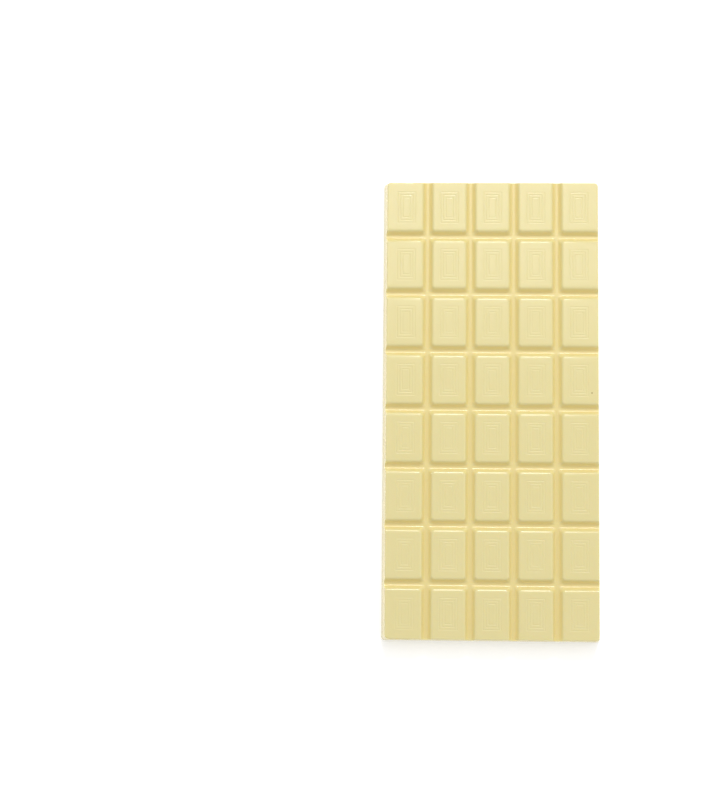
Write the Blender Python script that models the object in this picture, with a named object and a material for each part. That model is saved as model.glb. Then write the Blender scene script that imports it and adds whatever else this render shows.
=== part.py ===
"""A bare moulded bar of white chocolate, lying on its flat back with the tablets up.

The bar is one casting: 5 columns by 8 rows of tablets over a common slab, with a
rounded groove between neighbours, three fine rectangles sunk in each tablet's face,
and drafted outer walls that simply cut through the outer tablets and grooves.
"""

import math

import bmesh
import bpy

MM = 0.001

# Driving dimensions
COLUMNS = 5
ROWS = 8
COLUMN_PITCH = 14.5 * MM
ROW_PITCH = 19.45 * MM
BAR_WIDTH = 73.3 * MM
BAR_LENGTH = 155.5 * MM
BAR_THICKNESS = 7.8 * MM
GROOVE_FLOOR_HEIGHT = 6.0 * MM
GROOVE_FLOOR_WIDTH = 0.1 * MM
TABLET_WALL_ANGLE = math.radians(62.5)
OUTER_WALL_DRAFT = 1.2 * MM

# Roundings
TABLET_FOOT_RADIUS = 1.25 * MM
TABLET_RIM_RADIUS = 0.7 * MM
CORNER_RADIUS_AT_FOOT = 2.2 * MM
CORNER_RADIUS_AT_FACE = 1.1 * MM
BAR_CORNER_RADIUS = 1.2 * MM
RIM_ROUNDING = 0.4 * MM
BACK_ROUNDING = 0.35 * MM

# Fine rectangles sunk in each face
RING_SIZES = [(6.0 * MM, 10.4 * MM), (4.2 * MM, 8.6 * MM), (2.3 * MM, 6.7 * MM)]
RING_WIDTH = 0.5 * MM
RING_DEPTH = 0.12 * MM

# The raw casting runs past the outer walls, which then trim it
TRIM_MARGIN = 5.0 * MM
UNDERSIDE_MARGIN = 1.0 * MM
BLANK_CLEARANCE = 0.05 * MM

CORNER_POINTS = 3
ARC_STEPS = 2


def clear_scene():
    for obj in list(bpy.data.objects):
        bpy.data.objects.remove(obj, do_unlink=True)


def white_chocolate():
    """Pale cream chocolate with the soft gloss that a polished mould gives."""
    material = bpy.data.materials.new("white_chocolate")
    material.use_nodes = True
    shader = material.node_tree.nodes["Principled BSDF"]
    shader.inputs["Base Color"].default_value = (0.82, 0.72, 0.37, 1.0)
    shader.inputs["Roughness"].default_value = 0.35
    shader.inputs["Metallic"].default_value = 0.0
    return material


def rounded_loop(bm, low, high, radius, z):
    """A rounded rectangle's points from its low to its high corner, anticlockwise."""
    (x0, y0), (x1, y1) = low, high
    centres = [
        (x1 - radius, y0 + radius, -90),
        (x1 - radius, y1 - radius, 0),
        (x0 + radius, y1 - radius, 90),
        (x0 + radius, y0 + radius, 180),
    ]
    loop = []
    for x, y, start in centres:
        for step in range(CORNER_POINTS):
            angle = math.radians(start + 90 * step / (CORNER_POINTS - 1))
            point = (x + radius * math.cos(angle), y + radius * math.sin(angle), z)
            loop.append(bm.verts.new(point))
    return loop


def square_loop(bm, centre, size, z):
    """A sharp rectangle's four points, anticlockwise from +X, -Y."""
    x, y = centre
    half_x, half_y = size[0] / 2, size[1] / 2
    corners = [(half_x, -half_y), (half_x, half_y), (-half_x, half_y), (-half_x, -half_y)]
    return [bm.verts.new((x + dx, y + dy, z)) for dx, dy in corners]


def bridge(bm, outer, inner):
    """Faces between two loops with the same number of points."""
    count = len(outer)
    for i in range(count):
        j = (i + 1) % count
        bm.faces.new((outer[i], outer[j], inner[j], inner[i]))


def join_corners(bm, square, rounded, square_outside):
    """Faces between four square corners and the rounded rectangle beside them."""
    for corner in range(4):
        first = corner * CORNER_POINTS
        last = first + CORNER_POINTS - 1
        onward = (last + 1) % len(rounded)
        after = (corner + 1) % 4
        faces = [
            (square[corner], rounded[i + 1], rounded[i]) for i in range(first, last)
        ]
        faces.append((square[corner], square[after], rounded[onward], rounded[last]))
        for face in faces:
            bm.faces.new(face if square_outside else face[::-1])


def wall_profile():
    """(inset, height) from the groove floor round the foot, up the wall and over the rim."""
    foot, rim, slope = TABLET_FOOT_RADIUS, TABLET_RIM_RADIUS, TABLET_WALL_ANGLE
    depth = BAR_THICKNESS - GROOVE_FLOOR_HEIGHT
    straight_rise = depth - (foot + rim) * (1 - math.cos(slope))
    run = (foot + rim) * math.sin(slope) + straight_rise / math.tan(slope)
    turns = [slope * step / ARC_STEPS for step in range(ARC_STEPS + 1)]
    foot_arc = [
        (foot * math.sin(turn), GROOVE_FLOOR_HEIGHT + foot * (1 - math.cos(turn)))
        for turn in turns
    ]
    rim_arc = [
        (run - rim * math.sin(turn), BAR_THICKNESS - rim * (1 - math.cos(turn)))
        for turn in reversed(turns)
    ]
    return foot_arc + rim_arc


def add_tablet(bm, cell, low, high, centre):
    """One tablet, from the groove floor up to its face and the rectangles sunk in it."""
    z_face = BAR_THICKNESS
    profile = wall_profile()
    run = profile[-1][0]
    radius_drop = CORNER_RADIUS_AT_FOOT - CORNER_RADIUS_AT_FACE
    loops = []
    for inset, z in profile:
        inner_low = (low[0] + inset, low[1] + inset)
        inner_high = (high[0] - inset, high[1] - inset)
        radius = CORNER_RADIUS_AT_FOOT - radius_drop * inset / run
        loops.append(rounded_loop(bm, inner_low, inner_high, radius, z))
    join_corners(bm, cell, loops[0], square_outside=True)
    for outer, inner in zip(loops, loops[1:]):
        bridge(bm, outer, inner)

    previous = None
    for width, length in RING_SIZES:
        sunk = [(RING_WIDTH, z_face), (0.0, z_face - RING_DEPTH), (-RING_WIDTH, z_face)]
        rings = [square_loop(bm, centre, (width + d, length + d), z) for d, z in sunk]
        if previous is None:
            join_corners(bm, rings[0], loops[-1], square_outside=False)
        else:
            bridge(bm, previous, rings[0])
        bridge(bm, rings[0], rings[1])
        bridge(bm, rings[1], rings[2])
        previous = rings[2]
    bm.faces.new(previous)


def grid_lines(count, pitch):
    """Cell boundaries along one axis; the outermost lie past the outer walls."""
    lines = [(i - count / 2) * pitch for i in range(count + 1)]
    lines[0] -= 2 * TRIM_MARGIN
    lines[-1] += 2 * TRIM_MARGIN
    return lines


def tablet_span(index, count, pitch):
    """A tablet's foot along one axis; an outer tablet runs past the outer wall."""
    low = (index - count / 2) * pitch + GROOVE_FLOOR_WIDTH / 2
    high = (index + 1 - count / 2) * pitch - GROOVE_FLOOR_WIDTH / 2
    if index == 0:
        low -= TRIM_MARGIN
    if index == count - 1:
        high += TRIM_MARGIN
    return low, high


def add_raw_casting(material):
    """The slab and its tablets, oversize all round and below."""
    bm = bmesh.new()
    xs = grid_lines(COLUMNS, COLUMN_PITCH)
    ys = grid_lines(ROWS, ROW_PITCH)
    nodes = [[bm.verts.new((x, y, GROOVE_FLOOR_HEIGHT)) for y in ys] for x in xs]
    for i in range(COLUMNS):
        x_low, x_high = tablet_span(i, COLUMNS, COLUMN_PITCH)
        for j in range(ROWS):
            y_low, y_high = tablet_span(j, ROWS, ROW_PITCH)
            cell = (nodes[i + 1][j], nodes[i + 1][j + 1], nodes[i][j + 1], nodes[i][j])
            centre = (
                (i + 0.5 - COLUMNS / 2) * COLUMN_PITCH,
                (j + 0.5 - ROWS / 2) * ROW_PITCH,
            )
            add_tablet(bm, cell, (x_low, y_low), (x_high, y_high), centre)

    rim = [edge for edge in bm.edges if edge.is_boundary]
    skirt = bmesh.ops.extrude_edge_only(bm, edges=rim)["geom"]
    for vert in (item for item in skirt if isinstance(item, bmesh.types.BMVert)):
        vert.co.z = -UNDERSIDE_MARGIN
    bmesh.ops.holes_fill(bm, edges=[edge for edge in bm.edges if edge.is_boundary], sides=0)
    bmesh.ops.recalc_face_normals(bm, faces=bm.faces)

    mesh = bpy.data.meshes.new("bar")
    bm.to_mesh(mesh)
    bm.free()
    mesh.materials.append(material)
    casting = bpy.data.objects.new("bar", mesh)
    bpy.context.scene.collection.objects.link(casting)
    return casting


def bevel_edges(bm, edges, offset, segments):
    bmesh.ops.bevel(
        bm,
        geom=edges,
        offset=offset,
        offset_type="OFFSET",
        segments=segments,
        profile=0.5,
        affect="EDGES",
    )


def add_outer_form():
    """The drafted block with rounded corners and rims that trims the raw casting."""
    top = BAR_THICKNESS + BLANK_CLEARANCE
    draft = OUTER_WALL_DRAFT * top / BAR_THICKNESS
    bm = bmesh.new()
    bmesh.ops.create_cube(bm, size=1.0)
    for vert in bm.verts:
        inset = draft if vert.co.z > 0 else 0.0
        vert.co.x = math.copysign(BAR_WIDTH / 2 - inset, vert.co.x)
        vert.co.y = math.copysign(BAR_LENGTH / 2 - inset, vert.co.y)
        vert.co.z = top if vert.co.z > 0 else 0.0
    upright = [e for e in bm.edges if abs(e.verts[0].co.z - e.verts[1].co.z) > top / 2]
    bevel_edges(bm, upright, BAR_CORNER_RADIUS, 3)
    rim = [e for e in bm.edges if min(v.co.z for v in e.verts) > top - BLANK_CLEARANCE]
    bevel_edges(bm, rim, RIM_ROUNDING, 2)
    back = [e for e in bm.edges if max(v.co.z for v in e.verts) < BLANK_CLEARANCE]
    bevel_edges(bm, back, BACK_ROUNDING, 2)
    bmesh.ops.recalc_face_normals(bm, faces=bm.faces)
    mesh = bpy.data.meshes.new("outer_form")
    bm.to_mesh(mesh)
    bm.free()
    form = bpy.data.objects.new("outer_form", mesh)
    bpy.context.scene.collection.objects.link(form)
    form.hide_render = True
    form.display_type = "WIRE"
    return form


def trim(casting, form):
    """Keeps what of the raw casting lies within the outer form."""
    modifier = casting.modifiers.new("outer_walls", "BOOLEAN")
    modifier.operation = "INTERSECT"
    modifier.solver = "EXACT"
    modifier.object = form


clear_scene()
bar = add_raw_casting(white_chocolate())
trim(bar, add_outer_form())
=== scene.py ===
import math

import bmesh
import bpy
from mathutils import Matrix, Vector


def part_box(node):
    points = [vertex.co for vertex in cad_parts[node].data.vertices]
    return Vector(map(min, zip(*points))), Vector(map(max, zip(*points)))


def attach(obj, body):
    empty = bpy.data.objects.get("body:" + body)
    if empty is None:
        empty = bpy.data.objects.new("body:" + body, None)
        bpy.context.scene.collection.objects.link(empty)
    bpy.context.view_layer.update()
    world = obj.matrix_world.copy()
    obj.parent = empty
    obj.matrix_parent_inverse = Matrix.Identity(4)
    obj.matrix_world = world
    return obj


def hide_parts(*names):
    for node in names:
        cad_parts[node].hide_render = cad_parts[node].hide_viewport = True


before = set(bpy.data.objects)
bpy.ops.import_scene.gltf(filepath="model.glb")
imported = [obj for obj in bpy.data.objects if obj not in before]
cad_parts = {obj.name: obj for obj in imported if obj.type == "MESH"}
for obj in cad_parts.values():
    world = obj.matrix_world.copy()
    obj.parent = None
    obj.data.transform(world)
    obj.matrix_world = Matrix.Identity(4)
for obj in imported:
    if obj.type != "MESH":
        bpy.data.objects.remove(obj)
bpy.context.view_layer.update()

# One tablet. Each tablet of the bar is a low block with slanting walls that rise out of a
# rounded groove, a faintly crowned face, and three fine rectangles sunk in the face, where
# ridges stand in the mould. It is modelled once, round the origin.
column_pitch = 0.0145
row_pitch = 0.01945
groove_depth = 0.0018
groove_floor_width = 0.00156
wall_run = 0.00095
bar_low, bar_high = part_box("bar")
groove_floor_height = bar_high.z - groove_depth
crown_run = 0.0011
crown_height = 0.00005
rim_height = bar_high.z - crown_height
plan_corner_radius = 0.0010
foot_fillet = 0.00076
rim_fillet = 0.00042

ring_outer_size = (0.0060, 0.0104)
ring_spacing = 0.00092
ring_slope = 0.00017
ring_floor = 0.00012
ring_depth = 0.000045
ring_count = 3
ring_edge_rounding = 0.00004
ring_edge_angle = math.radians(5)


def deselect_all():
    bpy.ops.object.select_all(action="DESELECT")


def edit_only(piece):
    deselect_all()
    piece.select_set(True)
    bpy.context.view_layer.objects.active = piece
    bpy.ops.object.mode_set(mode="EDIT")


def pick_edges(piece, wanted):
    """Selects, in edit mode, just the edges for which wanted(edge) is true."""
    bpy.ops.mesh.select_mode(type="EDGE")
    bpy.ops.mesh.select_all(action="DESELECT")
    shape = bmesh.from_edit_mesh(piece.data)
    for edge in shape.edges:
        edge.select_set(wanted(edge))
    shape.select_flush_mode()
    bmesh.update_edit_mesh(piece.data)


def pick_points(piece, wanted):
    """Selects, in edit mode, just the points for which wanted(place) is true."""
    bpy.ops.mesh.select_mode(type="VERT")
    bpy.ops.mesh.select_all(action="DESELECT")
    shape = bmesh.from_edit_mesh(piece.data)
    for point in shape.verts:
        point.select_set(wanted(point.co))
    shape.select_flush_mode()
    bmesh.update_edit_mesh(piece.data)


def rises(edge):
    return abs(edge.verts[0].co.z - edge.verts[1].co.z) > groove_depth / 2


def runs_round(edge, height):
    """True for an edge at this height that has a slanting wall on one side only."""
    walls = [abs(face.normal.z) < 0.9 for face in edge.link_faces]
    at_height = all(abs(point.co.z - height) < 1e-5 for point in edge.verts)
    return at_height and len(walls) == 2 and walls[0] != walls[1]


def in_rings(edge):
    """True where an edge belongs to the engraved rectangles."""
    middle = (edge.verts[0].co + edge.verts[1].co) / 2
    half_width = (ring_outer_size[0] + 1.5 * ring_width) / 2
    half_length = (ring_outer_size[1] + 1.5 * ring_width) / 2
    return abs(middle.x) < half_width and abs(middle.y) < half_length


deselect_all()
bpy.ops.mesh.primitive_plane_add(size=1, location=(0, 0, groove_floor_height))
bar = bpy.context.object
bar.name = bar.data.name = "moulded_bar"
bar.scale = (column_pitch, row_pitch, 1)
bpy.ops.object.transform_apply(location=True, rotation=False, scale=True)

edit_only(bar)
bpy.ops.mesh.select_all(action="SELECT")
bpy.ops.mesh.inset(thickness=groove_floor_width / 2)
foot_size = (column_pitch - groove_floor_width, row_pitch - groove_floor_width)
rise = rim_height - groove_floor_height
bpy.ops.mesh.extrude_region_move(TRANSFORM_OT_translate={"value": (0, 0, rise)})
bpy.ops.transform.resize(
    value=(1 - 2 * wall_run / foot_size[0], 1 - 2 * wall_run / foot_size[1], 1),
    center_override=(0, 0, rim_height),
)
bpy.ops.mesh.inset(thickness=crown_run, depth=crown_height)

crown_size = [side - 2 * wall_run - 2 * crown_run for side in foot_size]
ring_width = 2 * ring_slope + ring_floor
first_margin = (crown_size[0] - ring_outer_size[0] - ring_width) / 2
bpy.ops.mesh.inset(thickness=first_margin)
length_after_inset = crown_size[1] - 2 * first_margin
bpy.ops.transform.resize(
    value=(1, (ring_outer_size[1] + ring_width) / length_after_inset, 1),
    center_override=(0, 0, bar_high.z),
)
for ring in range(ring_count):
    bpy.ops.mesh.inset(thickness=ring_slope, depth=-ring_depth)
    bpy.ops.mesh.inset(thickness=ring_floor)
    bpy.ops.mesh.inset(thickness=ring_slope, depth=ring_depth)
    if ring < ring_count - 1:
        bpy.ops.mesh.inset(thickness=ring_spacing - ring_width)

pick_edges(bar, rises)
bpy.ops.mesh.bevel(offset=plan_corner_radius, segments=6, affect="EDGES")
pick_edges(bar, lambda edge: runs_round(edge, groove_floor_height))
bpy.ops.mesh.bevel(offset=foot_fillet, segments=6, affect="EDGES")
pick_edges(bar, lambda edge: runs_round(edge, rim_height))
bpy.ops.mesh.bevel(offset=rim_fillet, segments=5, affect="EDGES")
pick_edges(bar, lambda edge: in_rings(edge) and edge.calc_face_angle(0) > ring_edge_angle)
bpy.ops.mesh.bevel(offset=ring_edge_rounding, segments=2, affect="EDGES")
bpy.ops.object.mode_set(mode="OBJECT")

# The casting. All the tablets stand on one slab, because the chocolate is poured into
# the mould at once: copies of the tablet are laid edge to edge and made one skin, and
# the outer tablets are drawn out so that the outer walls can cut through them.
columns = 5
rows = 8
outward = 0.005
below_back = 0.001


def lay_copies(piece, name, count, offset):
    row = piece.modifiers.new(name, "ARRAY")
    row.count = count
    row.use_relative_offset = False
    row.use_constant_offset = True
    row.constant_offset_displace = offset
    row.use_merge_vertices = True
    row.merge_threshold = 0.00001
    bpy.ops.object.modifier_apply(modifier=name)


lay_copies(bar, "columns", columns, (column_pitch, 0, 0))
lay_copies(bar, "rows", rows, (0, row_pitch, 0))
edit_only(bar)
bpy.ops.mesh.select_all(action="SELECT")
bpy.ops.transform.translate(
    value=(-(columns - 1) / 2 * column_pitch, -(rows - 1) / 2 * row_pitch, 0)
)
last_column = (columns - 1) / 2 * column_pitch
last_row = (rows - 1) / 2 * row_pitch
past_rings_x = last_column + ring_outer_size[0] / 2 + ring_width
past_rings_y = last_row + ring_outer_size[1] / 2 + ring_width
for side in (-1, 1):
    pick_points(bar, lambda place: side * place.x > past_rings_x)
    bpy.ops.transform.translate(value=(side * outward, 0, 0))
    pick_points(bar, lambda place: side * place.y > past_rings_y)
    bpy.ops.transform.translate(value=(0, side * outward, 0))
pick_edges(bar, lambda edge: edge.is_boundary)
drop = groove_floor_height + below_back
bpy.ops.mesh.extrude_region_move(TRANSFORM_OT_translate={"value": (0, 0, -drop)})
bpy.ops.mesh.edge_face_add()
bpy.ops.mesh.select_all(action="SELECT")
bpy.ops.mesh.normals_make_consistent(inside=False)
bpy.ops.object.mode_set(mode="OBJECT")

# The outer walls. The mould's cavity has drafted walls with rounded corners, so the
# bar drops out, and the back is flat with a softly rounded edge where the poured
# chocolate met the wall. A block of that form trims the casting.
wall_draft = 0.0012
bar_corner_radius = 0.0012
outer_rim_fillet = 0.00055
back_fillet = 0.00035
above_faces = 0.00005

deselect_all()
block_height = bar_high.z + above_faces
bpy.ops.mesh.primitive_cube_add(size=1, location=(0, 0, block_height / 2))
cavity = bpy.context.object
cavity.name = cavity.data.name = "mould_cavity"
foot_flare = 2 * wall_draft * back_fillet / bar_high.z
cavity_size = (bar_high.x - bar_low.x + foot_flare, bar_high.y - bar_low.y + foot_flare)
cavity.scale = (cavity_size[0], cavity_size[1], block_height)
bpy.ops.object.transform_apply(location=True, rotation=False, scale=True)
edit_only(cavity)
pick_points(cavity, lambda place: place.z > block_height / 2)
top_draft = 2 * wall_draft * block_height / bar_high.z
bpy.ops.transform.resize(
    value=(1 - top_draft / cavity_size[0], 1 - top_draft / cavity_size[1], 1),
    center_override=(0, 0, block_height),
)
pick_edges(cavity, rises)
bpy.ops.mesh.bevel(offset=bar_corner_radius, segments=8, affect="EDGES")
pick_edges(cavity, lambda edge: min(point.co.z for point in edge.verts) > bar_high.z)
bpy.ops.mesh.bevel(offset=outer_rim_fillet, segments=5, affect="EDGES")
pick_edges(cavity, lambda edge: max(point.co.z for point in edge.verts) < above_faces)
bpy.ops.mesh.bevel(offset=back_fillet, segments=4, affect="EDGES")
bpy.ops.object.mode_set(mode="OBJECT")

deselect_all()
bar.select_set(True)
bpy.context.view_layer.objects.active = bar
trimming = bar.modifiers.new("outer_walls", "BOOLEAN")
trimming.operation = "INTERSECT"
trimming.object = cavity
bpy.ops.object.modifier_apply(modifier="outer_walls")
bpy.data.objects.remove(cavity)

deselect_all()
bar.select_set(True)
bpy.context.view_layer.objects.active = bar
bpy.ops.object.shade_smooth_by_angle(angle=math.radians(32))
evening = bar.modifiers.new("even_normals", "WEIGHTED_NORMAL")
evening.keep_sharp = True
bpy.ops.object.modifier_apply(modifier="even_normals")
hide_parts("bar")
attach(bar, "root")

# The white chocolate. Cocoa butter, milk and sugar without cocoa, so it is a warm
# cream, slightly translucent, with the soft uneven gloss that a polished mould leaves.
cream = (0.83, 0.735, 0.365, 1)
# Painted glow: a warmer, deeper yellow low in the grooves stands in for light bounced between the
# walls and passing through the chocolate.
painted_glow_in_grooves = (0.87, 0.735, 0.325, 1)
# Painted shade: a darker cream towards the bottom of the outer walls stands in for the shadow
# where the bar meets the table.
painted_shade_on_walls = (0.76, 0.67, 0.355, 1)
clouded = (0.98, 0.975, 0.95, 1)
fleck = (0.42, 0.31, 0.11, 1)
fleck_place = (0.0332, 0.0055, bar_high.z)
fleck_radius = 0.00035

chocolate = bpy.data.materials.new("white_chocolate")
chocolate.use_nodes = True
nodes = chocolate.node_tree.nodes
links = chocolate.node_tree.links
shader = nodes["Principled BSDF"]
shader.inputs["Subsurface Weight"].default_value = 0.2
shader.inputs["Subsurface Radius"].default_value = (1.0, 0.8, 0.4)
shader.inputs["Subsurface Scale"].default_value = 0.003
shader.inputs["IOR"].default_value = 1.5
shader.inputs["Specular IOR Level"].default_value = 0.75
place = nodes.new("ShaderNodeTexCoord")

clouding = nodes.new("ShaderNodeTexNoise")
clouding.inputs["Scale"].default_value = 45
clouding.inputs["Detail"].default_value = 3
links.new(place.outputs["Object"], clouding.inputs["Vector"])
tint = nodes.new("ShaderNodeMix")
tint.data_type = "RGBA"
tint.blend_type = "MULTIPLY"
tint.inputs["B"].default_value = clouded
links.new(clouding.outputs["Fac"], tint.inputs["Factor"])
heights = nodes.new("ShaderNodeSeparateXYZ")
links.new(place.outputs["Object"], heights.inputs["Vector"])
share = nodes.new("ShaderNodeMath")
share.operation = "DIVIDE"
share.inputs[1].default_value = bar_high.z
links.new(heights.outputs["Z"], share.inputs[0])
# Colour by height paints light: painted shade darker towards the bottom of the walls, painted
# glow warmer low in the grooves, and the plain cream on the faces.
painted_shade_and_glow_by_height = nodes.new("ShaderNodeValToRGB")
stops = painted_shade_and_glow_by_height.color_ramp.elements
stops[0].position = 0.15
stops[0].color = painted_shade_on_walls
stops[1].position = 0.97
stops[1].color = cream
stops.new(groove_floor_height / bar_high.z).color = painted_glow_in_grooves
links.new(share.outputs["Value"], painted_shade_and_glow_by_height.inputs["Fac"])
links.new(painted_shade_and_glow_by_height.outputs["Color"], tint.inputs["A"])
fleck_distance = nodes.new("ShaderNodeVectorMath")
fleck_distance.operation = "DISTANCE"
fleck_distance.inputs[1].default_value = fleck_place
links.new(place.outputs["Object"], fleck_distance.inputs[0])
fleck_strength = nodes.new("ShaderNodeMapRange")
fleck_strength.inputs["From Min"].default_value = fleck_radius
fleck_strength.inputs["From Max"].default_value = fleck_radius / 3
links.new(fleck_distance.outputs["Value"], fleck_strength.inputs["Value"])
flecked = nodes.new("ShaderNodeMix")
flecked.data_type = "RGBA"
flecked.inputs["B"].default_value = fleck
links.new(tint.outputs["Result"], flecked.inputs["A"])
links.new(fleck_strength.outputs["Result"], flecked.inputs["Factor"])
links.new(flecked.outputs["Result"], shader.inputs["Base Color"])

handling = nodes.new("ShaderNodeTexNoise")
handling.inputs["Scale"].default_value = 110
handling.inputs["Detail"].default_value = 2
links.new(place.outputs["Object"], handling.inputs["Vector"])
gloss = nodes.new("ShaderNodeMapRange")
gloss.inputs["From Min"].default_value = 0.3
gloss.inputs["From Max"].default_value = 0.7
gloss.inputs["To Min"].default_value = 0.17
gloss.inputs["To Max"].default_value = 0.25
links.new(handling.outputs["Fac"], gloss.inputs["Value"])
links.new(gloss.outputs["Result"], shader.inputs["Roughness"])
bar.data.materials.clear()
bar.data.materials.append(chocolate)

# The table. A plain white sheet that the bar lies on; it isn't part of the bar.
deselect_all()
bpy.ops.mesh.primitive_plane_add(size=4, location=(0, 0, 0))
table = bpy.context.object
table.name = table.data.name = "table"
paper = bpy.data.materials.new("white_paper")
paper.use_nodes = True
paper.node_tree.nodes["Principled BSDF"].inputs["Base Color"].default_value = (1, 1, 1, 1)
paper.node_tree.nodes["Principled BSDF"].inputs["Roughness"].default_value = 0.8
paper.node_tree.nodes["Principled BSDF"].inputs["Emission Color"].default_value = (1, 1, 1, 1)
paper.node_tree.nodes["Principled BSDF"].inputs["Emission Strength"].default_value = 0.25
table.data.materials.append(paper)

# The light. White walls and a white ceiling light the bar from all round. A softbox above
# and beyond its far end puts a sheen on the far rows, and a white panel low behind that
# end brightens the walls that face it.
softbox_place = Vector((0.04, 0.48, 1.14))
softbox_size = 0.60
softbox_power = 2.0
far_lamp_place = Vector((0.08, 0.86, 0.86))
far_lamp_width = 0.30
far_lamp_height = 0.24
far_lamp_power = 4.5
left_panel_place = Vector((-0.98, 0.0, 0.82))
left_panel_power = 1.1
right_panel_place = Vector((0.98, 0.0, 0.82))
right_panel_power = 2.4
side_panel_width = 1.6
side_panel_height = 1.0
room_white = 0.555


def add_lamp(name, place, width, height, power):
    deselect_all()
    bpy.ops.object.light_add(type="AREA", location=place)
    lamp = bpy.context.object
    lamp.name = name
    lamp.data.shape = "RECTANGLE"
    lamp.data.size = width
    lamp.data.size_y = height
    lamp.data.energy = power
    lamp.rotation_euler = place.to_track_quat("Z", "Y").to_euler()


add_lamp("softbox", softbox_place, softbox_size, softbox_size, softbox_power)
add_lamp("far_lamp", far_lamp_place, far_lamp_width, far_lamp_height, far_lamp_power)
add_lamp("left_panel", left_panel_place, side_panel_width, side_panel_height, left_panel_power)
add_lamp("right_panel", right_panel_place, side_panel_width, side_panel_height, right_panel_power)
room = bpy.data.worlds.new("white_room")
room.use_nodes = True
room.node_tree.nodes["Background"].inputs["Color"].default_value = (1, 1, 1, 1)
room.node_tree.nodes["Background"].inputs["Strength"].default_value = room_white
bpy.context.scene.world = room
bpy.context.scene.view_settings.view_transform = "Standard"

# The camera. A long lens high above the bar, a little towards the near end, with the
# bar to the right of the middle of the picture.
camera_place = Vector((-0.0343, -0.0297, 0.4589))
camera_tilt = math.radians(4.11)
camera_lean = math.radians(1.5)
camera_turn = math.radians(0.5)
lens_mm = 60.75

deselect_all()
bpy.ops.object.camera_add(location=camera_place, rotation=(camera_tilt, camera_lean, camera_turn))
camera = bpy.context.object
camera.name = "camera"
camera.data.lens = lens_mm
bpy.context.scene.camera = camera
